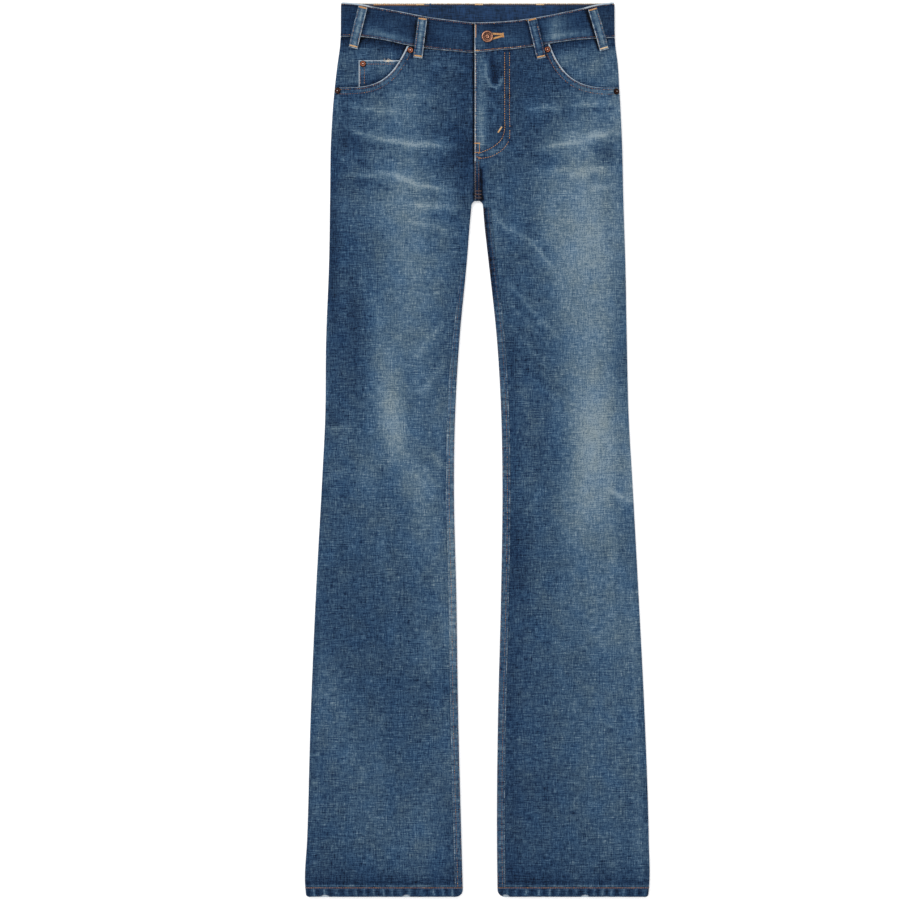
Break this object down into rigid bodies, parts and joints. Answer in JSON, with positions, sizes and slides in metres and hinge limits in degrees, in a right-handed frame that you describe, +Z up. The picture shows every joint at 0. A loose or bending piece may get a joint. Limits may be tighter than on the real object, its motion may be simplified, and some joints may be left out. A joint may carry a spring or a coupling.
{
  "type": "slim fit jeans",
  "caption": "Faded blue five-pocket jeans with a slim seat and a leg that widens to the hem, zip fly and waist button, laid flat on their back with the front up",
  "frame": {"origin": "middle of the garment's outline, on the surface that it lies on", "axes": "+Y towards the waist, +Z up out of the front, wearer's right at -X"},
  "size_m": [0.4476, 1.16, 0.0122],
  "materials": {
    "denim": "washed indigo twill, faded at thigh and knee",
    "denim_dark": "washed indigo twill, little worn",
    "thread": "tan and brown sewing thread",
    "copper": "aged copper",
    "zip_brass": "plain brass",
    "zip_tape": "woven tape"
  },
  "bodies": {
    "root": {"front_right": "denim", "front_left": "denim", "back_right": "denim", "back_left": "denim", "yoke_right": "denim", "yoke_left": "denim", "waistband": "denim_dark", "pocket_facing_right": "denim", "pocket_facing_left": "denim", "coin_pocket": "denim", "back_pocket_right": "denim", "back_pocket_left": "denim", "inseam_right": "denim", "inseam_left": "denim", "rise_seam": "denim", "hem_right": "denim", "hem_left": "denim", "belt_loop_1": "denim", "belt_loop_2": "denim", "belt_loop_3": "denim", "belt_loop_4": "denim", "belt_loop_5": "denim", "belt_loop_6": "denim", "belt_loop_7": "denim", "fly_zip": "zip_tape", "zip_slider": "zip_brass", "waist_button": "copper", "rivet_1": "copper", "rivet_2": "copper", "rivet_3": "copper", "rivet_4": "copper", "rivet_5": "copper"}
  },
  "joints": []
}
